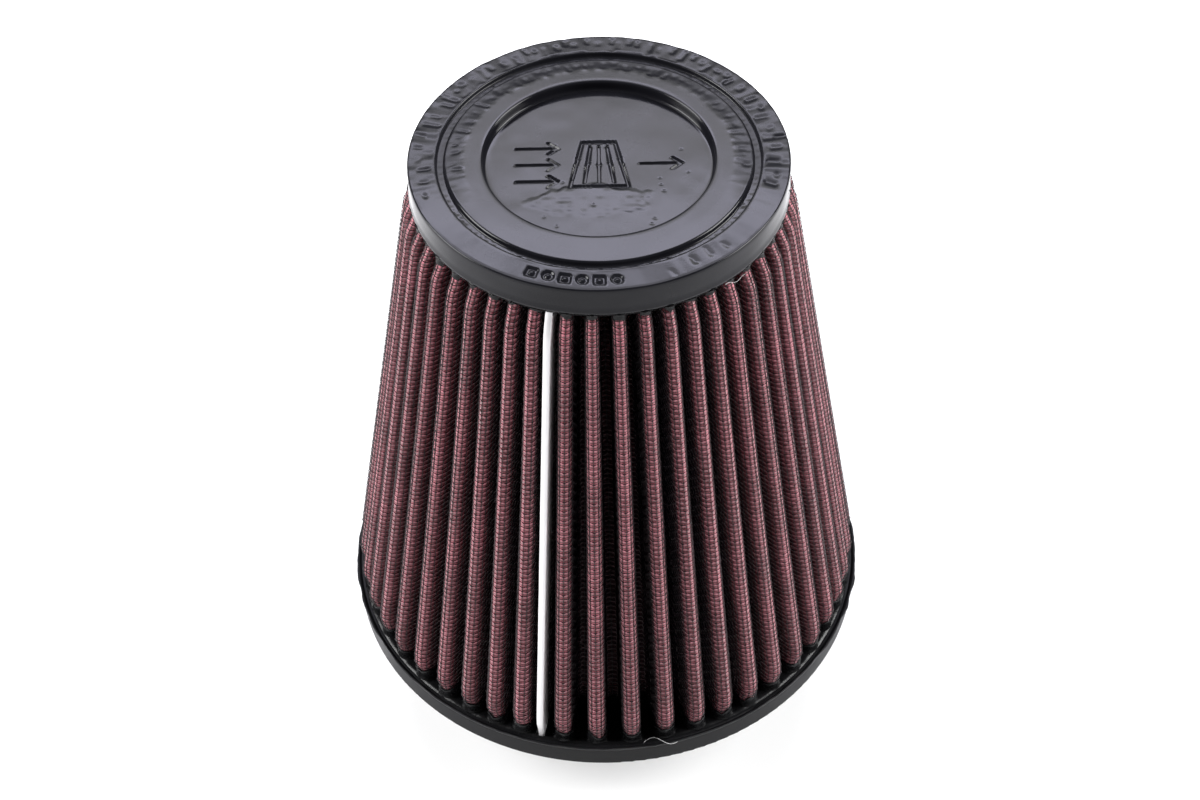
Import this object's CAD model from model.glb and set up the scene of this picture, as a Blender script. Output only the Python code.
import math

import bpy
import numpy as np
from mathutils import Matrix, Vector


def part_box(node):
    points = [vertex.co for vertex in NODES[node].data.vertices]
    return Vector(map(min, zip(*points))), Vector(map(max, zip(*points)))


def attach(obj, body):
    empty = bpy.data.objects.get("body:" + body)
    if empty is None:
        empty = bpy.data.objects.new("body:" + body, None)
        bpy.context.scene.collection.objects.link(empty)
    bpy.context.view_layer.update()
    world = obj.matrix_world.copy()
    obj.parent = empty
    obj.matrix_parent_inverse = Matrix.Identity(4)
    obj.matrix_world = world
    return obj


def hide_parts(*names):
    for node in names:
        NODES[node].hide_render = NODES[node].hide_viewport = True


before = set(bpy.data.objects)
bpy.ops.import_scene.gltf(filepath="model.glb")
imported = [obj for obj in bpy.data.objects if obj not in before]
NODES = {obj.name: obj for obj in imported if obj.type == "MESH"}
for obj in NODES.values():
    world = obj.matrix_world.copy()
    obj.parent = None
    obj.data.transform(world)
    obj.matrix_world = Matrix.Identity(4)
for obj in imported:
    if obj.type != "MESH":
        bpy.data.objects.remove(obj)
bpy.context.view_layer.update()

MM = 0.001

# ---------------------------------------------------------------- the pack's shape, in mm
pack_low, pack_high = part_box("outer_screen")
PACK_Z = (pack_low.z / MM, pack_high.z / MM)
PACK_H = PACK_Z[1] - PACK_Z[0]
_, base_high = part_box("base_flange")
BASE_TOP = base_high.z / MM
BASE_R = base_high.y / MM
cap_low, cap_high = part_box("top_cap")
CAP_LOW = cap_low.z / MM
CAP_TOP = cap_high.z / MM
CAP_R = cap_high.y / MM

PLEATS = 49
TIP_R = np.array([69.4, 44.7])
ROOT_R = TIP_R - 13.5
TIP_HALF = np.array([2.5, 1.65])
ROOT_HALF = np.array([2.3, 1.2])
SCREEN_T = 0.25
GAUZE_T = 0.11
GAP = 0.015
PACK_T = 2 * SCREEN_T + 4 * GAUZE_T + 5 * GAP
SEAM = -105.5
SEAM_PITCH = 5.1
SQUEEZE = 0.7
CLIP_LEG = 4.5
CLIP_T = 0.25
PITCH_ALONG = 1.43
PITCH_UP = 1.501
SLACK = 0.02
ROOT_BEND = 0.9


def smoothstep(a, b, x):
    t = np.clip((x - a) / (b - a), 0, 1)
    return t * t * (3 - 2 * t)


def tip_line(z):
    """Radius of the pleat tips at height z: pinched in the rubber, swelling just outside it."""
    low = 2.3 * (1 - smoothstep(BASE_TOP, BASE_TOP + 8, z))
    high = 1.8 * smoothstep(CAP_LOW - 8, CAP_LOW + 0.5, z)
    inside = -0.05 * np.maximum(0, BASE_TOP - z) + 0.04 * np.maximum(0, z - CAP_LOW)
    return 70.4 - 0.1665 * (z - BASE_TOP) - low - high - inside


def swell(z):
    """How much wider the pack is at height z than straight lines from end to end."""
    u = (z - PACK_Z[0]) / PACK_H
    return tip_line(z) / (TIP_R[0] * (1 - u) + TIP_R[1] * u)


def even_turn(i):
    """Turn from the seam to pleat i, if the pleats stood evenly."""
    if i == 0:
        return 0.0
    return SEAM_PITCH + (i - 1) * (360 - 2 * SEAM_PITCH) / (PLEATS - 2)


def wander(turn):
    """How far, in degrees, the real spacing has drifted from the even one."""
    quick = math.sin(math.radians(4 * turn - 110)) + math.sin(math.radians(7 * turn - 108))
    return 1.5 * math.sin(math.radians(turn + 136)) + 0.5 * quick


def tip_turn(i):
    return SEAM + even_turn(i) + wander(even_turn(i)) - wander(0)


def across(turn, along, side):
    """The point that lies along the direction turn, and so far to its left side."""
    c, s = math.cos(math.radians(turn)), math.sin(math.radians(turn))
    return np.array([along * c - side * s, along * s + side * c])


def rounded(a, corner, b, r):
    """Points of a soft bend at corner, between the points a and b."""
    to_a, to_b = a - corner, b - corner
    p = corner + to_a * min(1.0, r / max(np.linalg.norm(to_a), 1e-6))
    q = corner + to_b * min(1.0, r / max(np.linalg.norm(to_b), 1e-6))
    return [
        p * (1 - t) ** 2 + corner * 2 * t * (1 - t) + q * t * t
        for t in np.linspace(0, 1, 7)
    ]


class Span:
    """A stretch of the folded path at one end of the pack, at depth 0."""

    def __init__(self, points):
        p = np.array(points)
        keep = np.concatenate([[True], np.linalg.norm(np.diff(p, axis=0), axis=1) > 1e-4])
        self.p = p[keep]
        steps = np.diff(self.p, axis=0)
        lengths = np.linalg.norm(steps, axis=1)
        self.s = np.concatenate([[0], np.cumsum(lengths)])
        self.length = self.s[-1]
        t = steps / lengths[:, None]
        t = np.vstack([t[:1], (t[1:] + t[:-1]) / 2, t[-1:]])
        t /= np.linalg.norm(t, axis=1)[:, None]
        self.n = np.stack([t[:, 1], -t[:, 0]], axis=1)

    def at(self, frac):
        s = np.asarray(frac) * self.length
        p = np.stack([np.interp(s, self.s, self.p[:, k]) for k in (0, 1)], axis=1)
        n = np.stack([np.interp(s, self.s, self.n[:, k]) for k in (0, 1)], axis=1)
        return p, n / np.linalg.norm(n, axis=1)[:, None]


def corner_at(i, e, side):
    """Where the wall of pleat i, or of the seam, meets the root."""
    if i == 0 or i == PLEATS:
        return across(SEAM, ROOT_R[e], side * (SLACK + PACK_T))
    return across(tip_turn(i), ROOT_R[e], side * ROOT_HALF[e])


def pleat_span(i, e):
    """From the middle of one root, over tip i, to the middle of the next root."""
    turn, tip = tip_turn(i), TIP_HALF[e]
    low, high = corner_at(i, e, -1), corner_at(i, e, 1)
    start = (corner_at(i - 1, e, 1) + low) / 2
    end = (corner_at(i + 1, e, -1) + high) / 2
    arc = [
        across(turn, TIP_R[e] - tip + tip * math.cos(a), tip * math.sin(a))
        for a in np.radians(np.arange(-90, 91, 10))
    ]
    return Span(
        [
            start, *rounded(start, low, arc[0], ROOT_BEND), *arc,
            *rounded(arc[-1], high, end, ROOT_BEND), end,
        ]
    )


def seam_span(e, side):
    """From the cut edge in the clip down to the middle of the first root."""
    free, tight = SLACK + PACK_T, SLACK + PACK_T * SQUEEZE
    edge = TIP_R[e] - CLIP_T - 0.1
    walls = [
        across(SEAM, edge, side * tight),
        across(SEAM, edge - CLIP_LEG, side * tight),
        across(SEAM, edge - CLIP_LEG - 1.5, side * free),
    ]
    root = across(SEAM, ROOT_R[e], side * free)
    other = corner_at(1, e, -1) if side > 0 else corner_at(PLEATS - 1, e, 1)
    end = (root + other) / 2
    points = [*walls, *rounded(walls[-1], root, end, ROOT_BEND), end]
    return Span(points if side > 0 else points[::-1])


SPANS = [
    [seam_span(e, 1), *[pleat_span(i, e) for i in range(1, PLEATS)], seam_span(e, -1)]
    for e in (0, 1)
]


def mean_length(j):
    """Length of span j, halfway between its two ends."""
    return (SPANS[0][j].length + SPANS[1][j].length) / 2


class Path:
    """Points of the whole folded path, the same ones at both ends of the pack."""

    def __init__(self, pleat_marks, seam_marks):
        """pleat_marks: distances in mm from a tip's middle. seam_marks: from the cut edge."""
        ends = ([], [])
        marks, tight = [], []
        for j in range(PLEATS + 1):
            length = mean_length(j)
            if 0 < j < PLEATS:
                m = np.clip(0.5 + np.asarray(pleat_marks) / length, 0, 1)
                names = np.asarray(pleat_marks) / PITCH_ALONG
            elif j == 0:
                m = np.clip(np.asarray(seam_marks) / length, 0, 1)
                names = np.asarray(seam_marks) / PITCH_ALONG
            else:
                m = np.clip(1 - np.asarray(seam_marks)[::-1] / length, 0, 1)
                names = np.asarray(seam_marks)[::-1] / PITCH_ALONG
            for e in (0, 1):
                ends[e].append(SPANS[e][j].at(m))
            marks.append(names)
            tight.append(np.full(len(m), SQUEEZE if j in (0, PLEATS) else 1.0))
        self.p = [np.vstack([x[0] for x in end]) for end in ends]
        self.n = [np.vstack([x[1] for x in end]) for end in ends]
        self.marks = np.concatenate(marks)
        self.squeeze = np.concatenate(tight)

    def level(self, z, depth):
        """The path at height z, in mm, at a depth under the pack's outer face."""
        u = (z - PACK_Z[0]) / PACK_H
        p = self.p[0] * (1 - u) + self.p[1] * u
        n = self.n[0] * (1 - u) + self.n[1] * u
        n /= np.linalg.norm(n, axis=1)[:, None]
        d = np.asarray(depth) * self.squeeze
        xy = (p - n * d[:, None]) * swell(z)
        z = np.full((len(xy), 1), float(z))
        return np.hstack([xy, z]), np.hstack([n, 0 * z])


# ---------------------------------------------------------------- meshes
def mesh_of(name, verts, faces, body, material, smooth=True):
    """A new piece from points in mm and an array of faces with the same number of corners."""
    verts, faces = np.asarray(verts, float), np.asarray(faces, np.int32)
    me = bpy.data.meshes.new(name)
    me.vertices.add(len(verts))
    me.vertices.foreach_set("co", (verts * MM).astype(np.float32).ravel())
    me.loops.add(faces.size)
    me.loops.foreach_set("vertex_index", faces.ravel())
    me.polygons.add(len(faces))
    me.polygons.foreach_set("loop_start", np.arange(0, faces.size, faces.shape[1], dtype=np.int32))
    me.update(calc_edges=True)
    me.polygons.foreach_set("use_smooth", np.full(len(faces), smooth))
    me.materials.append(material)
    obj = bpy.data.objects.new(name, me)
    bpy.context.scene.collection.objects.link(obj)
    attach(obj, body)
    return obj


def grid_faces(rows, cols, wrap_rows=False, wrap_cols=False):
    """Four-sided faces over a grid of points, joined up round either way."""
    r = np.arange(rows if wrap_rows else rows - 1)
    c = np.arange(cols if wrap_cols else cols - 1)
    r, c = np.meshgrid(r, c, indexing="ij")
    r1, c1 = (r + 1) % rows, (c + 1) % cols
    quads = np.stack([r * cols + c, r * cols + c1, r1 * cols + c1, r1 * cols + c], axis=-1)
    return quads.reshape(-1, 4)


def halves(quads):
    return np.vstack([quads[:, [0, 1, 2]], quads[:, [0, 2, 3]]])


def tubes(lines, side_a, side_b, radius):
    """Closed three-sided tubes along lines[k, j], with section axes side_a and side_b."""
    corners = 3
    count, length = lines.shape[:2]
    turns = np.radians(90 + 360 / corners * np.arange(corners))
    ring = (
        np.cos(turns)[None, None, :, None] * side_a[:, :, None, :]
        + np.sin(turns)[None, None, :, None] * side_b[:, :, None, :]
    )
    verts = (lines[:, :, None, :] + radius * ring).reshape(-1, 3)
    one = grid_faces(length, corners, wrap_cols=True)
    quads = (one[None] + (np.arange(count) * length * corners)[:, None, None]).reshape(-1, 4)
    first = np.arange(corners)
    last = (length - 1) * corners + np.arange(corners)[::-1]
    ends = np.stack([first, last])
    ends = (ends[None] + (np.arange(count) * length * corners)[:, None, None]).reshape(-1, corners)
    return verts, np.vstack([halves(quads), ends])


def set_uv(obj, u, v):
    """Each point's place in the weave, counted in wires along the fold and up it."""
    layer = obj.data.uv_layers.new(name="weave")
    index = np.zeros(len(obj.data.loops), np.int32)
    obj.data.loops.foreach_get("vertex_index", index)
    layer.data.foreach_set("uv", np.stack([u[index], v[index]], axis=1).astype(np.float32).ravel())


def lattice_noise(x, y, seed, period=None):
    """Smooth noise from -1 to 1, one cell per unit. period: x repeats after so many cells."""
    rng = np.random.default_rng(seed)
    table = rng.uniform(-1, 1, (512, 256))
    xi, yi = np.floor(x).astype(int), np.floor(y).astype(int)
    fx, fy = x - xi, y - yi
    fx, fy = fx * fx * (3 - 2 * fx), fy * fy * (3 - 2 * fy)

    def value(a, b):
        return table[(a % period if period else a) % 512, b % 256]

    low = value(xi, yi) * (1 - fx) + value(xi + 1, yi) * fx
    high = value(xi, yi + 1) * (1 - fx) + value(xi + 1, yi + 1) * fx
    return low * (1 - fy) + high * fy


# ---------------------------------------------------------------- materials
def new_material(name):
    mat = bpy.data.materials.new(name)
    mat.use_nodes = True
    tree = mat.node_tree
    return mat, tree.nodes, tree.links, tree.nodes["Principled BSDF"]


def add(nodes, kind, **values):
    node = nodes.new(kind)
    for key, value in values.items():
        setattr(node, key, value)
    return node


def coords(nodes, links, scale=(1, 1, 1)):
    place = add(nodes, "ShaderNodeTexCoord")
    mapping = add(nodes, "ShaderNodeMapping")
    mapping.inputs["Scale"].default_value = scale
    links.new(place.outputs["Object"], mapping.inputs["Vector"])
    return mapping.outputs["Vector"]


def noise(nodes, links, vector, scale, detail=3.0, roughness=0.5):
    node = add(nodes, "ShaderNodeTexNoise")
    node.inputs["Scale"].default_value = scale
    node.inputs["Detail"].default_value = detail
    node.inputs["Roughness"].default_value = roughness
    links.new(vector, node.inputs["Vector"])
    return node.outputs["Fac"]


def ramp(nodes, links, fac, stops):
    node = add(nodes, "ShaderNodeValToRGB")
    element = node.color_ramp.elements
    while len(element) < len(stops):
        element.new(0.5)
    for e, (position, colour) in zip(element, stops):
        e.position = position
        e.color = (*colour, 1)
    links.new(fac, node.inputs["Fac"])
    return node.outputs["Color"]


def grey(v):
    return (v, v, v)


def math_node(nodes, links, operation, a, b=None, c=None):
    node = add(nodes, "ShaderNodeMath", operation=operation)
    for socket, value in zip(node.inputs, (a, b, c)):
        if value is None:
            continue
        if isinstance(value, (int, float)):
            socket.default_value = value
        else:
            links.new(value, socket)
    return node.outputs[0]


def bump(nodes, links, height, distance, bsdf=None, after=None):
    """Bump of a height in metres, laid over an earlier bump, and given to the shader if asked."""
    node = add(nodes, "ShaderNodeBump")
    node.inputs["Distance"].default_value = distance
    node.inputs["Strength"].default_value = 1.0
    links.new(height, node.inputs["Height"])
    if after is not None:
        links.new(after, node.inputs["Normal"])
    if bsdf is not None:
        links.new(node.outputs["Normal"], bsdf.inputs["Normal"])
    return node.outputs["Normal"]


def rubber_material(name, dark, light, rough_low, rough_high, bump_mm, scale, gloss, matte=0):
    """Black rubber. matte: how much rougher it is where the mesh attribute matte is 1."""
    mat, nodes, links, bsdf = new_material(name)
    here = coords(nodes, links)
    coarse = noise(nodes, links, here, 60 * scale, 4)
    fine = noise(nodes, links, here, 900 * scale, 3, 0.6)
    colour = ramp(nodes, links, coarse, [(0.3, dark), (0.7, light)])
    links.new(colour, bsdf.inputs["Base Color"])
    rough = ramp(nodes, links, coarse, [(0.3, grey(rough_low)), (0.7, grey(rough_high))])
    if matte:
        worn = add(nodes, "ShaderNodeAttribute", attribute_name="matte")
        rough = math_node(nodes, links, "MULTIPLY_ADD", worn.outputs["Fac"], matte, rough)
    links.new(rough, bsdf.inputs["Roughness"])
    first = bump(nodes, links, coarse, bump_mm * 6 * MM)
    bump(nodes, links, fine, bump_mm * MM, bsdf, first)
    bsdf.inputs["Specular IOR Level"].default_value = gloss
    return mat


def gauze_material(name, shadow, middle, bright, cells=True):
    """Oiled cotton. cells: it bulges between the wires and darkens down the pleat's walls."""
    mat, nodes, links, bsdf = new_material(name)
    here = coords(nodes, links)
    blotch = noise(nodes, links, here, 90, 4, 0.6)
    fibre = noise(nodes, links, here, 2600, 2, 0.6)
    uv = add(nodes, "ShaderNodeUVMap", uv_map="weave")
    split = add(nodes, "ShaderNodeSeparateXYZ")
    links.new(uv.outputs["UV"], split.inputs[0])
    waves = []
    for axis in ("X", "Y"):
        turned = math_node(nodes, links, "MULTIPLY", split.outputs[axis], math.pi)
        sine = math_node(nodes, links, "SINE", turned)
        waves.append(math_node(nodes, links, "ABSOLUTE", sine))
    columns = math_node(nodes, links, "POWER", waves[0], 0.6)
    columns = math_node(nodes, links, "MULTIPLY_ADD", columns, 0.55, 0.45)
    rows = math_node(nodes, links, "POWER", waves[1], 0.7)
    pillow = math_node(nodes, links, "MULTIPLY", columns, rows)
    spread = math_node(nodes, links, "MULTIPLY", blotch, 0.55)
    grain = math_node(nodes, links, "MULTIPLY", fibre, 0.25)
    mixed = math_node(nodes, links, "MULTIPLY", pillow, 0.45 if cells else 0.0)
    for part in (spread, grain):
        mixed = math_node(nodes, links, "ADD", mixed, part)
    if cells:
        away = math_node(nodes, links, "ABSOLUTE", split.outputs["X"])
        deep = add(nodes, "ShaderNodeMapRange", interpolation_type="SMOOTHSTEP")
        deep.inputs["From Min"].default_value = 1.1
        deep.inputs["From Max"].default_value = 5.0
        deep.inputs["To Max"].default_value = 0.42
        links.new(away, deep.inputs["Value"])
        mixed = math_node(nodes, links, "SUBTRACT", mixed, deep.outputs["Result"])
    colour = ramp(nodes, links, mixed, [(0.3, shadow), (0.62, middle), (0.95, bright)])
    links.new(colour, bsdf.inputs["Base Color"])
    rough = ramp(nodes, links, blotch, [(0.3, grey(0.38)), (0.7, grey(0.6))])
    links.new(rough, bsdf.inputs["Roughness"])
    bsdf.inputs["Sheen Weight"].default_value = 0.15
    bsdf.inputs["Specular IOR Level"].default_value = 0.7
    first = bump(nodes, links, pillow, 0.35 * MM) if cells else None
    bump(nodes, links, fibre, 0.05 * MM, bsdf, first)
    return mat


def wire_material(name, dark, light, metallic, roughness):
    mat, nodes, links, bsdf = new_material(name)
    here = coords(nodes, links)
    worn = noise(nodes, links, here, 140, 3)
    colour = ramp(nodes, links, worn, [(0.35, dark), (0.65, light)])
    links.new(colour, bsdf.inputs["Base Color"])
    rough = ramp(nodes, links, worn, [(0.3, grey(roughness - 0.08)), (0.7, grey(roughness + 0.08))])
    links.new(rough, bsdf.inputs["Roughness"])
    bsdf.inputs["Metallic"].default_value = metallic
    bsdf.inputs["Specular IOR Level"].default_value = 0.35
    return mat


def metal_material(name, dark, light, roughness, stretch, metallic=1.0):
    """Brushed sheet metal. stretch: how many times finer the grain is along X, Y and Z."""
    mat, nodes, links, bsdf = new_material(name)
    here = coords(nodes, links, stretch)
    grain = noise(nodes, links, here, 400, 4, 0.65)
    cloud = noise(nodes, links, coords(nodes, links), 50, 3)
    colour = ramp(nodes, links, cloud, [(0.3, dark), (0.7, light)])
    links.new(colour, bsdf.inputs["Base Color"])
    rough = ramp(nodes, links, grain, [(0.3, grey(roughness - 0.07)), (0.7, grey(roughness + 0.1))])
    links.new(rough, bsdf.inputs["Roughness"])
    bsdf.inputs["Metallic"].default_value = metallic
    bump(nodes, links, grain, 0.004 * MM, bsdf)
    return mat


BASE_RUBBER = rubber_material(
    "base_rubber", (0.004, 0.004, 0.0045), (0.008, 0.008, 0.009), 0.3, 0.44, 0.012, 1.0, 0.085
)
CAST_RUBBER = rubber_material(
    "cast_rubber", (0.003, 0.003, 0.0033), (0.006, 0.006, 0.0066), 0.18, 0.34, 0.05, 2.2, 0.14
)
CAP_RUBBER = rubber_material(
    "cap_rubber", (0.0045, 0.0045, 0.006), (0.0075, 0.0075, 0.0095), 0.1, 0.16, 0.004, 1.3, 0.15, 0.17
)
GAUZE = gauze_material(
    "oiled_gauze", (0.028, 0.002, 0.004), (0.15, 0.016, 0.027), (0.5, 0.14, 0.18)
)
INNER_GAUZE = gauze_material(
    "oiled_gauze_inner", (0.08, 0.007, 0.012), (0.2, 0.03, 0.04), (0.4, 0.1, 0.12), False
)
WIRE = wire_material("screen_wire", (0.008, 0.005, 0.006), (0.024, 0.016, 0.018), 0.2, 0.42)
SEAM_METAL = metal_material(
    "seam_metal", (0.66, 0.65, 0.655), (0.74, 0.73, 0.735), 0.42, (3, 3, 0.05), metallic=0.5
)
CLAMP_STEEL = metal_material("clamp_steel", (0.26, 0.26, 0.26), (0.34, 0.34, 0.35), 0.26, (1, 1, 12))
SCREW_ZINC = metal_material("screw_zinc", (0.32, 0.33, 0.34), (0.42, 0.43, 0.44), 0.3, (4, 1, 4))
LINT = rubber_material("lint_fibre", (0.5, 0.5, 0.5), (0.7, 0.7, 0.7), 0.6, 0.8, 0.001, 1.0, 0.4)

for node, mat in {
    "base_flange": BASE_RUBBER,
    "clamp_band": CLAMP_STEEL,
    "clamp_housing": CLAMP_STEEL,
    "clamp_screw": SCREW_ZINC,
}.items():
    held = NODES[node]
    if not held.material_slots:
        held.data.materials.append(mat)
    for s in held.material_slots:
        s.material = mat

# ---------------------------------------------------------------- the four gauze layers
SHEET_MARKS = np.concatenate(
    [[-16.6, -15.6, -14.6, -13, -10, -7], np.linspace(-4.6, 4.6, 11), [7, 10, 13, 14.6, 15.6, 16.6]]
)
SEAM_MARKS = np.array([0, 2, 4.5, 6.1, 9, 11.5, 12.8, 13.6, 14.6])
SHEET_LEVELS = np.concatenate(
    [[PACK_Z[0], 31, 33, 35.5, 38.5, 42], np.linspace(56, 148, 6), [161, 164, 167, 169.5, 171.5, PACK_Z[1]]]
)


def sheet_piece(name, outer_depth, thickness, material):
    """One folded layer, and its flat size in metres."""
    path = Path(SHEET_MARKS, SEAM_MARKS)
    out = [path.level(z, outer_depth)[0] for z in SHEET_LEVELS]
    inn = [path.level(z, outer_depth + thickness)[0] for z in SHEET_LEVELS]
    rows = out + inn[::-1]
    verts = np.vstack(rows)
    n, levels = len(rows[0]), len(SHEET_LEVELS)
    left = [
        [k * n, (k + 1) * n, (2 * levels - 2 - k) * n, (2 * levels - 1 - k) * n]
        for k in range(levels - 1)
    ]
    right = [[v + n - 1 for v in f][::-1] for f in left]
    faces = np.vstack([grid_faces(len(rows), n, wrap_rows=True), left, right])
    obj = mesh_of(name, verts, faces, "filter", material)
    set_uv(obj, np.tile(path.marks, len(rows)), (verts[:, 2] - PACK_Z[0]) / PITCH_UP)
    length = sum(mean_length(j) for j in range(PLEATS + 1)) * MM
    slope = math.hypot(PACK_H, TIP_R[0] - TIP_R[1]) * MM
    return obj, (round(slope, 4), round(length, 3))


def gauze_depth(k):
    """Depth of gauze layer k's outer face under the pack's outer face."""
    return SCREEN_T + GAP + (k - 1) * (GAUZE_T + GAP)


for k in range(1, 5):
    mat = GAUZE if k == 1 else INNER_GAUZE
    gauze, flat = sheet_piece(f"gauze_sheet_{k}", gauze_depth(k), GAUZE_T, mat)
    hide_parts(f"gauze_layer_{k}")

# ---------------------------------------------------------------- the wire screens
WIRE_R = 0.135
ALONG_R = 0.105


def screen(prefix, node, depth, marks, waved, blocks, weave):
    """A woven screen: wires across it, in blocks of rows, and wires along it.

    marks: points along each pleat. waved: how far from the tip the wires weave, by weave mm.
    """
    path = Path(marks, WIRE_SEAM_MARKS)
    sign = np.where(np.round(path.marks).astype(int) % 2 == 0, 1.0, -1.0)
    sign = np.where(np.abs(path.marks) <= waved, sign, 0.0)
    heights = np.arange(PACK_Z[0] + 0.9, PACK_Z[1] - 0.4, PITCH_UP)
    made = []
    for b, block in enumerate(np.array_split(np.arange(len(heights)), blocks)):
        lines, normals = [], []
        for row in block:
            swing = weave * sign * (1 if row % 2 == 0 else -1)
            p, n = path.level(heights[row], depth - swing)
            lines.append(p)
            normals.append(n)
        lines, normals = np.array(lines), np.array(normals)
        up = np.zeros_like(normals)
        up[..., 2] = 1
        verts, faces = tubes(lines, up, normals, WIRE_R)
        made.append(mesh_of(f"{prefix}_across_{b + 1}", verts, faces, "filter", WIRE))
    straight = Path(np.arange(-11, 12) * PITCH_ALONG, np.arange(0, 10) * PITCH_ALONG + 0.3)
    levels = [straight.level(z, depth) for z in SHEET_LEVELS]
    lines = np.stack([x[0] for x in levels], axis=1)
    normals = np.stack([x[1] for x in levels], axis=1)
    side = np.stack([-normals[..., 1], normals[..., 0], 0 * normals[..., 0]], axis=-1)
    verts, faces = tubes(lines, side, normals, ALONG_R)
    made.append(mesh_of(f"{prefix}_along", verts, faces, "filter", WIRE))
    for piece in made:
        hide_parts(node)


FINE_MARKS = PITCH_ALONG * np.array([-11.6, -10, -8, *range(-6, 7), 8, 10])
COARSE_MARKS = PITCH_ALONG * np.array([-11.6, -10.5, -9, -3, -1.5, 0, 1.5, 3, 9, 10.5])
WIRE_SEAM_MARKS = np.array([0.3, 2, 4.5, 6.1, 9, 11.5, 12.8, 13.6, 14.6])
screen("outer_wires", "outer_screen", 0.125, FINE_MARKS, waved=6.5, blocks=3, weave=0.12)
screen("inner_wires", "inner_screen", 0.89, COARSE_MARKS, waved=0, blocks=2, weave=0)

# ---------------------------------------------------------------- the strip over the seam


def clip_section(edge):
    """Outline of the folded strip, its outside and then its inside, as (along, side) points."""
    inside = SLACK + PACK_T * SQUEEZE + 0.02
    outside = inside + CLIP_T
    web, bend = edge + 0.05, 0.75
    outer = [(edge - CLIP_LEG, outside)]
    for a in np.radians([90, 67, 45, 22, 0]):
        outer.append((web + CLIP_T + bend * (math.cos(a) - 1), outside + bend * (math.sin(a) - 1)))
    inner = [(web, inside - 0.12), (web - 0.12, inside), (edge - CLIP_LEG, inside)]
    outer = [(a, -b) for a, b in outer] + outer[::-1]
    return np.array(outer + inner[::-1] + [(a, -b) for a, b in inner])


def clip_piece():
    """The strip folded over the pack's two cut edges, following the tips' curve."""
    rows = []
    for z in SHEET_LEVELS:
        z = np.clip(z, PACK_Z[0] + 0.05, PACK_Z[1] - 0.05)
        edge = tip_line(z) - (CLIP_T + 0.1) * swell(z)
        rows.append([[*across(SEAM, a, b), z] for a, b in clip_section(edge)])
    n = len(rows[0])
    # each end is closed between outer point k of 12 and the inner point that it faces
    facing = [17 - k // 2 for k in range(12)]
    end = []
    for k in range(11):
        end.append([k, facing[k], k + 1])
        if facing[k] != facing[k + 1]:
            end.append([k + 1, facing[k], facing[k + 1]])
    end = np.array(end)
    top = end[:, ::-1] + (len(rows) - 1) * n
    tris = np.vstack([halves(grid_faces(len(rows), n, wrap_cols=True)), end, top])
    return mesh_of("seam_strip", np.vstack(rows), tris, "filter", SEAM_METAL)


strip = clip_piece()
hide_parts("seam_clip")

# ---------------------------------------------------------------- rubber round the pleats' ends
BOOT_MARKS = np.concatenate(
    [[-16.6, -15.2, -14, -11.5, -9, -6.5], np.linspace(-4.4, 4.4, 9), [6.5, 9, 11.5, 14, 15.2, 16.6]]
)


# the rubber's section from its edge to its foot: share of the creep, and bulge in mm
BOOT_SECTION = [(1.0, 0.2), (0.93, 0.3), (0.7, 0.38), (0.42, 0.48), (0.2, 0.58), (0.06, 0.8), (-0.1, 1.1)]


def bent_level(path, z, depth):
    """As Path.level, with its own height at each point."""
    u = ((z - PACK_Z[0]) / PACK_H)[:, None]
    p = path.p[0] * (1 - u) + path.p[1] * u
    n = path.n[0] * (1 - u) + path.n[1] * u
    n /= np.linalg.norm(n, axis=1)[:, None]
    room = np.where(depth < 0, 1.0, path.squeeze)
    xy = (p - n * (depth * room)[:, None]) * swell(z)[:, None]
    return np.hstack([xy, z[:, None]])


def boots(name, foot_z, direction, low, high, seed, outside=True):
    """Rubber that has crept along the folded pack from its end. direction is 1 up, -1 down."""
    path = Path(BOOT_MARKS, SEAM_MARKS)
    n = len(path.marks)
    k = np.arange(n)
    slow = lattice_noise(k * 0.61, np.zeros(n), seed)
    quick = lattice_noise(k * 1.9, np.ones(n), seed)
    creep = 0.5 + 0.35 * slow + 0.3 * quick
    creep = low + (high - low) * creep
    lumps = 0.5 + 0.5 * lattice_noise(k * 0.83, np.ones(n) * 7.5, seed + 1)
    rows = []
    for share, bulge in BOOT_SECTION:
        out = -(bulge * (0.75 + 0.45 * lumps)) if outside else PACK_T + bulge * (0.75 + 0.45 * lumps)
        rows.append(bent_level(path, foot_z + direction * creep * share, out))
    on_pack = np.full(n, -SLACK if outside else PACK_T + SLACK)
    for share in (-0.1, 1.0):
        rows.append(bent_level(path, foot_z + direction * creep * share, on_pack))
    closing = np.array([[0, r * n, (r + 1) * n] for r in range(1, len(rows) - 1)])
    sides = halves(grid_faces(len(rows), n, wrap_rows=True))
    faces = np.vstack([sides, closing, (closing + n - 1)[:, ::-1]])
    return mesh_of(name, np.vstack(rows), faces, "filter", CAST_RUBBER)


boots("base_boots", BASE_TOP, 1, 1.8, 4.6, 3)
boots("base_boots_inside", BASE_TOP, 1, 1.2, 3.0, 5, False)
boots("cap_boots", CAP_LOW, -1, 0.7, 2.2, 9)
boots("cap_boots_inside", CAP_LOW, -1, 0.8, 2.0, 13, False)


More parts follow.
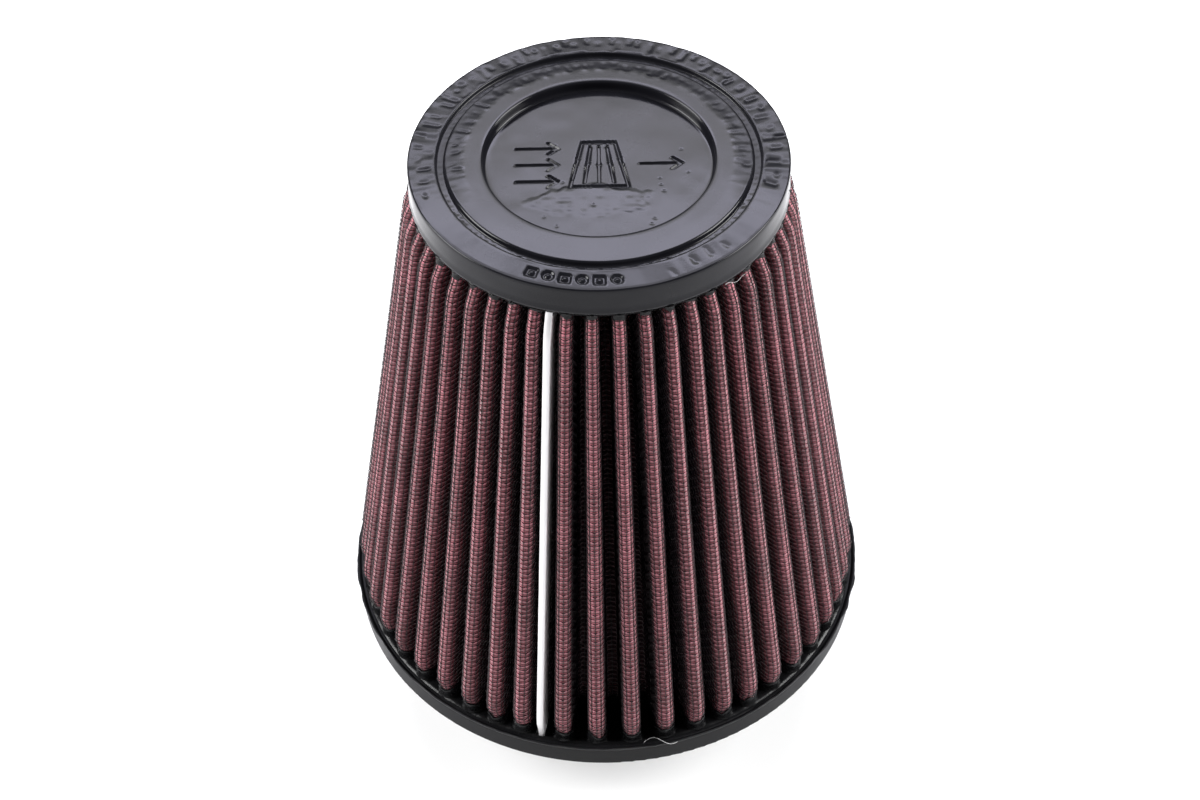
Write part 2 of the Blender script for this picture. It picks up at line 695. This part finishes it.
def cast_ring(name, z_low, z_high, r_in, r_out, seed, wave, up):
    """Rubber that fills the ring channel between the pleats, with its free face uneven."""
    turns = np.linspace(0, 2 * math.pi, 721)[:-1]
    n = len(turns)
    rows = []
    free, fixed = (z_high, z_low) if up else (z_low, z_high)
    for r in np.linspace(r_in, r_out, 12):
        lift = wave * lattice_noise(turns / (2 * math.pi) * 240, np.full(n, r * 0.5), seed, 240)
        fade = smoothstep(r_in, r_in + 1, r) * (1 - smoothstep(r_out - 1, r_out, r))
        z = free + (lift - wave if up else wave - lift) * fade
        rows.append(np.stack([r * np.cos(turns), r * np.sin(turns), z], axis=1))
    for r in (r_out, r_in):
        rows.append(np.stack([r * np.cos(turns), r * np.sin(turns), np.full(n, fixed)], axis=1))
    faces = grid_faces(len(rows), n, wrap_rows=True, wrap_cols=True)
    return mesh_of(name, np.vstack(rows), faces, "filter", CAST_RUBBER)


def base_lip():
    """The uneven flash along the base's upper edge, where the mould closed."""
    turns = np.linspace(0, 2 * math.pi, 1081)[:-1]
    front = np.degrees(np.arctan2(np.cos(turns), -np.sin(turns)))
    cells = turns / (2 * math.pi)
    side = smoothstep(38, 75, abs(front)) * (1 - 0.5 * smoothstep(120, 160, abs(front)))
    reach = 0.12 + 0.5 * side + (0.12 + 0.3 * side) * lattice_noise(cells * 90, 0 * turns, 81, 90)
    reach += 0.1 * lattice_noise(cells * 360, 0 * turns + 0.5, 83, 360)
    reach = np.maximum(reach, 0.05)
    lift = 0.25 * side + 0.12 * lattice_noise(cells * 120, 0 * turns + 2.5, 85, 120)
    rows = []
    for share, z in [(-0.6, 0.0), (0.2, 0.16), (0.75, 0.12), (1.0, -0.08), (0.8, -0.3), (0.05, -0.9)]:
        r = BASE_R + (share * reach if share > 0 else share)
        up = lift * min(1.0, max(share, 0.0) + 0.3) if z > -0.5 else 0 * lift
        rows.append(np.stack([r * np.cos(turns), r * np.sin(turns), BASE_TOP + z + up], axis=1))
    rows.append(rows[-1] * [(BASE_R - 0.6) / BASE_R, (BASE_R - 0.6) / BASE_R, 1])
    faces = grid_faces(len(rows), len(turns), wrap_rows=True, wrap_cols=True)
    return mesh_of("base_lip", np.vstack(rows), faces[:, ::-1], "filter", BASE_RUBBER)


def at_height(ends, z):
    """A radius given at the pack's two ends, at height z."""
    return (ends[0] + (ends[1] - ends[0]) * (z - PACK_Z[0]) / PACK_H) * swell(z)


base_lip()
cast_ring(
    "base_cast_ring", BASE_TOP - 2, BASE_TOP + 0.3, at_height(ROOT_R, BASE_TOP) - PACK_T - 0.5,
    at_height(TIP_R, BASE_TOP) + 0.6, 21, 0.22, True,
)
cast_ring(
    "cap_cast_ring", CAP_LOW - 0.3, CAP_LOW + 2, at_height(ROOT_R, CAP_LOW) - PACK_T - 0.5,
    at_height(TIP_R, CAP_LOW) + 0.5, 23, 0.2, False,
)

# ---------------------------------------------------------------- the cap
CAP_TURNS = 672
PANEL_R = 28.0
PANEL_DEPTH = 2.6
GROOVE_R = 39.4
GROOVE_DEPTH = 1.2
LIP_DROP = 0.42


def behind(front):
    """0 on the cap's smooth front, 1 on its wrinkled back. front: degrees from the front."""
    return smoothstep(62, 88, abs(front))


def strokes():
    """The airflow picture's lines: air through a cone filter."""
    cone = [(-7, -8), (7, -8), (4, 8), (-4, 8)]
    lines = [(cone[i], cone[(i + 1) % 4]) for i in range(4)]
    lines += [((x * 3.5, -6.4), (x * 2.0, 6.4)) for x in (-1, 0, 1)]
    heads = [((-20, y), (-10, y)) for y in (-6, 0, 6)] + [((10, 0), (20, 0))]
    for tail, head in heads:
        lines.append((tail, head))
        lines += [(head, (head[0] - 2.2, head[1] + s * 2.0)) for s in (-1, 1)]
    return lines


def distance_to(lines, x, y):
    """Distance from each point to the nearest of the lines."""
    best = np.full(x.shape, 1e9)
    for (ax, ay), (bx, by) in lines:
        dx, dy = bx - ax, by - ay
        t = np.clip(((x - ax) * dx + (y - ay) * dy) / (dx * dx + dy * dy), 0, 1)
        best = np.minimum(best, np.hypot(x - ax - t * dx, y - ay - t * dy))
    return best


def marks_depth(x, y):
    """The row of plain squares and rings on the rim, as a share of their depth."""
    share = np.zeros(x.shape)
    at = (GROOVE_R + CAP_R) / 2
    for i in range(6):
        turn = math.radians(-112 + 5.4 * i)
        a = x * math.cos(turn) + y * math.sin(turn) - at
        b = -x * math.sin(turn) + y * math.cos(turn)
        reach = np.maximum(abs(a), abs(b)) if i % 2 == 0 else np.hypot(a, b)
        ring = abs(reach - 0.98) - 0.32
        share = np.maximum(share, 1 - smoothstep(-0.05, 0.22, ring))
    return share


def crease_set(seed, spacings, r_low, r_high, depth):
    """Short radial creases: direction, the radii they run between, lean, width and depth."""
    rng = np.random.default_rng(seed)
    found = []
    for start, stop, step, share in spacings:
        turn = start
        while turn < stop:
            a, b = sorted(rng.uniform(r_low, r_high, 2))
            a, b = min(a, r_low + 0.45 * (r_high - r_low)), max(b, r_high - 0.35 * (r_high - r_low))
            lean, width = rng.normal(0, 0.12), rng.uniform(0.5, 1.0)
            found.append((turn, a, b, lean, width, share * depth * rng.uniform(0.3, 1.0)))
            turn += step * rng.uniform(0.6, 1.4)
    return found


def crease_depth(creases, front, r):
    """How deep the creases are at front angle and radius."""
    total = np.zeros(front.shape)
    for turn, a, b, lean, width, depth in creases:
        off = ((front - turn + 180) % 360) - 180
        side = np.radians(off) * r - lean * (r - a)
        along = smoothstep(a - 0.5, a + 0.8, r) * (1 - smoothstep(b - 0.8, b + 0.5, r))
        total = np.maximum(total, depth * along * np.exp(-((side / width) ** 2)))
    return total


# each run of creases: from, to and mean step in degrees from the front, and share of the depth
RIM_RUNS = [
    (-122, -72, 5.2, 1.0), (-185, -122, 4.0, 0.8), (76, 132, 5.2, 1.2), (132, 175, 3.6, 0.9),
    (22, 50, 9, 0.7),
]
RING_RUNS = [(-130, -78, 5.0, 0.8), (-182, -130, 3.4, 0.7), (84, 130, 5.0, 0.9), (130, 178, 3.4, 0.8)]
RIM_CREASES = crease_set(31, RIM_RUNS, 40.2, 46.0, 0.3)
RING_CREASES = crease_set(37, RING_RUNS, 32.6, 37.0, 0.28)
GROOVE_CREASES = crease_set(41, [(-185, 175, 2.6, 1.0)], 37.6, 39.2, 0.16)


def panel_height(x, y):
    """The sunk panel's own hollows, from liquid rubber that has settled unevenly."""
    r = np.hypot(x, y)
    settled = 0.07 * lattice_noise(x * 0.07 + 40, y * 0.09 + 40, 5)
    edge = 0.34 * lattice_noise(x * 0.2 + 9, y * 0.22 + 9, 6) + 0.12 * lattice_noise(x * 0.6, y * 0.6, 7)
    pool = smoothstep(0, 0.32, 1 - ((x + 1) / 16) ** 2 - ((y + 13) / 6) ** 2 + edge)
    tilt = 0.013 * (y + 19.5)
    ripple = 0.035 * lattice_noise(x * 0.55 + 7, y * 0.7 + 7, 8)
    wrinkle = 0.02 * lattice_noise(x * 0.25 + 5, y * 0.25 + 5, 12) * smoothstep(10, 26, r)
    return settled + pool * (tilt + ripple) + wrinkle


# small pits in the panel: x, y and width
PITS = np.column_stack(
    [
        np.random.default_rng(51).uniform(-20, 24, 14),
        np.random.default_rng(52).uniform(-22, 8, 14),
        np.random.default_rng(53).uniform(0.25, 0.4, 14),
    ]
)


def top_height(x, y, r):
    """The top face's own relief, over the plain turned shape."""
    front = np.degrees(np.arctan2(x, -y))
    back = behind(front)
    h = np.zeros(x.shape)
    turn = (front + 180) / 360
    folds = lattice_noise(turn * 140, r * 0.1, 61, 140)
    fine = lattice_noise(turn * 250, r * 0.3, 63, 250)
    slow = lattice_noise(turn * 44, r * 0.13, 65, 44)
    rim = smoothstep(39.6, 40.4, r) * (1 - smoothstep(45.8, 46.4, r))
    h -= (0.05 - 0.03 * back) * np.maximum(0, r - 39.8)
    h += rim * back * (0.15 * folds + 0.04 * fine + 0.13 * slow)
    h += rim * (1 - back) * (0.03 * slow + 0.015 * folds)
    h -= rim * crease_depth(RIM_CREASES, front, r)
    outer = smoothstep(32.2, 33.4, r) * (1 - smoothstep(36.8, 37.2, r))
    h += outer * back * (0.09 * folds + 0.03 * fine + 0.05 * slow)
    # in front the annulus stays level out to the groove
    h += (LIP_DROP - 0.04) * (1 - back) * smoothstep(32.4, 36.9, r) * (r < 37.1)
    h -= outer * crease_depth(RING_CREASES, front, r)
    groove = smoothstep(37.4, 37.7, r) * (1 - smoothstep(39.0, 39.3, r))
    h -= groove * crease_depth(GROOVE_CREASES, front, r)
    h += smoothstep(27, 29, r) * 0.025 * lattice_noise(x * 0.12 + 30, y * 0.12 + 30, 67)
    h -= 0.5 * rim * marks_depth(x, y)
    inside = 1 - smoothstep(26.5, 27.4, r)
    h += inside * panel_height(x, y)
    h -= 0.5 * inside * (1 - smoothstep(0.26, 0.5, distance_to(strokes(), x, y)))
    for px, py, w in PITS:
        h -= 0.09 * np.exp(-(((x - px) ** 2 + (y - py) ** 2) / w**2)) * inside
    return h


def cap_profile():
    """The outline from the panel's middle out and under: radius, height, and 1 where relief goes."""
    floor = CAP_TOP - PANEL_DEPTH
    rows = [(r, floor, 1) for r in np.arange(0.35, 27.3, 0.345)]
    rows += [(27.45, floor + 0.03, 1), (27.7, floor + 0.14, 0), (27.88, floor + 0.4, 0)]
    rows += [(27.95, floor + 1.0, 0), (PANEL_R, floor + 1.8, 0), (28.08, CAP_TOP - 0.4, 0)]
    rows += [(28.25, CAP_TOP - 0.12, 0), (28.55, CAP_TOP - 0.02, 0)]
    rows += [(r, CAP_TOP, 1) for r in np.arange(29, 32.4, 0.8)]
    rows += [(r, CAP_TOP - LIP_DROP * smoothstep(32.4, 36.9, r), 1) for r in np.arange(32.6, 36.9, 0.36)]
    lip = CAP_TOP - LIP_DROP
    rows += [(37.05, lip, 1), (37.22, lip - 0.1, 0), (37.32, lip - 0.4, 0)]
    rows += [(r, CAP_TOP - GROOVE_DEPTH, 1) for r in (37.5, 37.8, 38.15, 38.5, 38.85, 39.1)]
    rows += [(39.28, CAP_TOP - GROOVE_DEPTH + 0.2, 0), (39.36, CAP_TOP - 0.4, 0)]
    rows += [(39.46, CAP_TOP - 0.1, 0), (39.7, CAP_TOP - 0.01, 0)]
    rows += [(r, CAP_TOP, 1) for r in np.arange(40, 45.7, 0.33)]
    rows += [(CAP_R - 0.42, CAP_TOP - 0.03, 1), (CAP_R - 0.16, CAP_TOP - 0.16, 0)]
    rows += [(CAP_R - 0.03, CAP_TOP - 0.45, 0), (CAP_R, CAP_TOP - 1.2, 0)]
    rows += [(CAP_R - 0.02, z, 0) for z in np.linspace(CAP_TOP - 2.4, CAP_LOW + 1.6, 5)]
    rows += [(CAP_R + 0.12, CAP_LOW + 1.0, 0), (CAP_R + 0.16, CAP_LOW + 0.5, 0)]
    rows += [(CAP_R - 0.1, CAP_LOW + 0.06, 0), (CAP_R - 0.6, CAP_LOW, 0)]
    rows += [(r, CAP_LOW, 0) for r in (45.0, 40.0, 34.0, 29.0, 26.5)]
    rows += [(25.6, floor - 3.6, 0), (20.0, floor - 3.6, 0), (0.35, floor - 3.6, 0)]
    return rows


def cap_piece():
    """The cap's turned outline with its relief, and the attribute matte over its wrinkles."""
    turns = np.linspace(0, 2 * math.pi, CAP_TURNS + 1)[:-1]
    rows = []
    for r, z, free in cap_profile():
        x, y = r * np.cos(turns), r * np.sin(turns)
        h = np.full(x.shape, float(z))
        if free:
            h = h + top_height(x, y, np.full(x.shape, float(r)))
        elif z > CAP_TOP - 1.3 and r > 40:
            edge = top_height(x * 45.9 / r, y * 45.9 / r, np.full(x.shape, 45.75))
            h = h + 0.6 * edge
        elif r > 45 and z > CAP_LOW + 0.01:
            wave = 0.05 * lattice_noise(turns / (2 * math.pi) * 40, np.full(x.shape, z * 0.2), 71, 40)
            x, y = x * (1 + wave / r), y * (1 + wave / r)
        rows.append(np.stack([x, y, h], axis=1))
    n = CAP_TURNS
    verts = np.vstack([*rows, [[0, 0, rows[0][:, 2].mean()], [0, 0, rows[-1][:, 2].mean()]]])
    quads = grid_faces(len(rows), n, wrap_cols=True)
    tris = np.vstack([quads[:, [0, 2, 1]], quads[:, [0, 3, 2]]])
    k = np.arange(n)
    top, bottom = len(verts) - 2, len(verts) - 1
    first = np.stack([np.full(n, top), k, (k + 1) % n], axis=1)
    last = (len(rows) - 1) * n
    under = np.stack([np.full(n, bottom), last + (k + 1) % n, last + k], axis=1)
    obj = mesh_of("cap_moulding", verts, np.vstack([tris, first, under]), "filter", CAP_RUBBER)
    x, y, r = verts[:, 0], verts[:, 1], np.hypot(verts[:, 0], verts[:, 1])
    back = behind(np.degrees(np.arctan2(x, -y)))
    outer = smoothstep(32.4, 34, r) * (1 - 0.4 * smoothstep(38, 41, r))
    layer = obj.data.attributes.new("matte", "FLOAT", "POINT")
    layer.data.foreach_set("value", (back * outer * (verts[:, 2] > CAP_TOP - 2)).astype(np.float32))
    return obj


cap = cap_piece()
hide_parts("top_cap")

# ---------------------------------------------------------------- lint caught on the rubber


def fibre(name, points, radius):
    """A thin curved hair through the points."""
    p = np.array(points, float)
    t = np.gradient(p, axis=0)
    t /= np.linalg.norm(t, axis=1)[:, None]
    a = np.cross(t, [0.3, 0.2, 0.93])
    a /= np.linalg.norm(a, axis=1)[:, None]
    b = np.cross(t, a)
    verts, faces = tubes(p[None], a[None], b[None], radius)
    return mesh_of(name, verts, faces, "filter", LINT)


t = np.linspace(0, 1, 24)
on_base = [9 + 9 * t, -68.6 + 1.1 * np.sin(6 * t) + 0.6 * t, BASE_TOP + 0.45 + 0.5 * np.sin(3.1 * t + 0.4)]
under_cap = [29 + 5 * t, -36.2 + 3.4 * t + 0.4 * np.sin(9 * t), CAP_LOW - 0.6 - 0.5 * np.sin(3.1 * t)]
fibre("lint_base", np.stack(on_base, axis=1), 0.07)
fibre("lint_cap", np.stack(under_cap, axis=1), 0.06)

# ---------------------------------------------------------------- floor, light and camera
floor_mat, nodes, links, bsdf = new_material("floor")
speckle = noise(nodes, links, coords(nodes, links), 8, 2)
links.new(ramp(nodes, links, speckle, [(0.3, grey(0.6)), (0.7, grey(0.62))]), bsdf.inputs["Base Color"])
bsdf.inputs["Emission Color"].default_value = (1, 1, 1, 1)
bsdf.inputs["Emission Strength"].default_value = 0.28
bsdf.inputs["Roughness"].default_value = 0.7
bsdf.inputs["Specular IOR Level"].default_value = 0.2
floor_mesh = bpy.data.meshes.new("floor")
edge = 6.0
corners = [(-edge, -edge, 0), (edge, -edge, 0), (edge, edge, 0), (-edge, edge, 0)]
floor_mesh.from_pydata(corners, [], [(0, 1, 2, 3)])
floor_mesh.materials.append(floor_mat)
floor = bpy.data.objects.new("floor", floor_mesh)
bpy.context.scene.collection.objects.link(floor)

scene = bpy.context.scene
world = bpy.data.worlds.new("studio")
scene.world = world
world.use_nodes = True
world.node_tree.nodes["Background"].inputs["Color"].default_value = (1, 1, 1, 1)
world.node_tree.nodes["Background"].inputs["Strength"].default_value = 0.15
scene.view_settings.view_transform = "Standard"


def area_light(name, azimuth, low, high, distance, width, radiance, target, colour=(1, 1, 1)):
    """A softbox in direction azimuth from the front, between two elevations, facing target."""
    data = bpy.data.lights.new(name, "AREA")
    data.shape = "RECTANGLE"
    data.size = width
    data.size_y = 2 * distance * math.tan(math.radians(high - low) / 2)
    data.energy = radiance * math.pi * data.size * data.size_y
    data.color = colour
    lamp = bpy.data.objects.new(name, data)
    bpy.context.scene.collection.objects.link(lamp)
    rise, turn = math.radians((low + high) / 2), math.radians(azimuth)
    away = Vector((math.sin(turn) * math.cos(rise), -math.cos(turn) * math.cos(rise), math.sin(rise)))
    lamp.location = Vector(target) + away * distance
    lamp.rotation_mode = "QUATERNION"
    lamp.rotation_quaternion = away.to_track_quat("Z", "Y")


for side in (-1, 1):
    area_light(f"side_{side + 1}", side * 91.5, 12, 46, 1.85, 1.0, 21, (0, 0, 0.09))
cap_middle = (0, 0, CAP_TOP * MM)
area_light("back_low", 180, 38.4, 42.0, 2.6, 2.4, 6.4, cap_middle, (1, 0.985, 1.06))
area_light("back_high", 180, 42.1, 49.5, 2.6, 2.4, 12.5, cap_middle, (0.97, 0.96, 1.16))
area_light("back_top", 180, 49.6, 68, 2.6, 2.4, 4.5, cap_middle, (0.98, 0.97, 1.08))
area_light("back_foot", 180, 29, 38.3, 2.6, 2.4, 2.4, cap_middle)

camera_data = bpy.data.cameras.new("camera")
camera_data.lens = 73.62
camera_data.sensor_width = 36
camera_data.clip_start, camera_data.clip_end = 0.05, 50
camera = bpy.data.objects.new("camera", camera_data)
scene.collection.objects.link(camera)
scene.camera = camera
rise, yaw, roll = math.radians(46.71), math.radians(-0.08), math.radians(-1.08)
look_at = Vector((0, 0, 92.74 * MM))
ahead = Vector((0, math.cos(rise), -math.sin(rise)))
camera.location = look_at - ahead * 0.65359
right = Vector((1, 0, 0))
up = right.cross(ahead)
view_dir = ahead * math.cos(yaw) + right * math.sin(yaw)
right = right * math.cos(yaw) - ahead * math.sin(yaw)
right, up = right * math.cos(roll) + up * math.sin(roll), up * math.cos(roll) - right * math.sin(roll)
camera.rotation_mode = "QUATERNION"
camera.rotation_quaternion = Matrix((right, up, -view_dir)).transposed().to_quaternion()
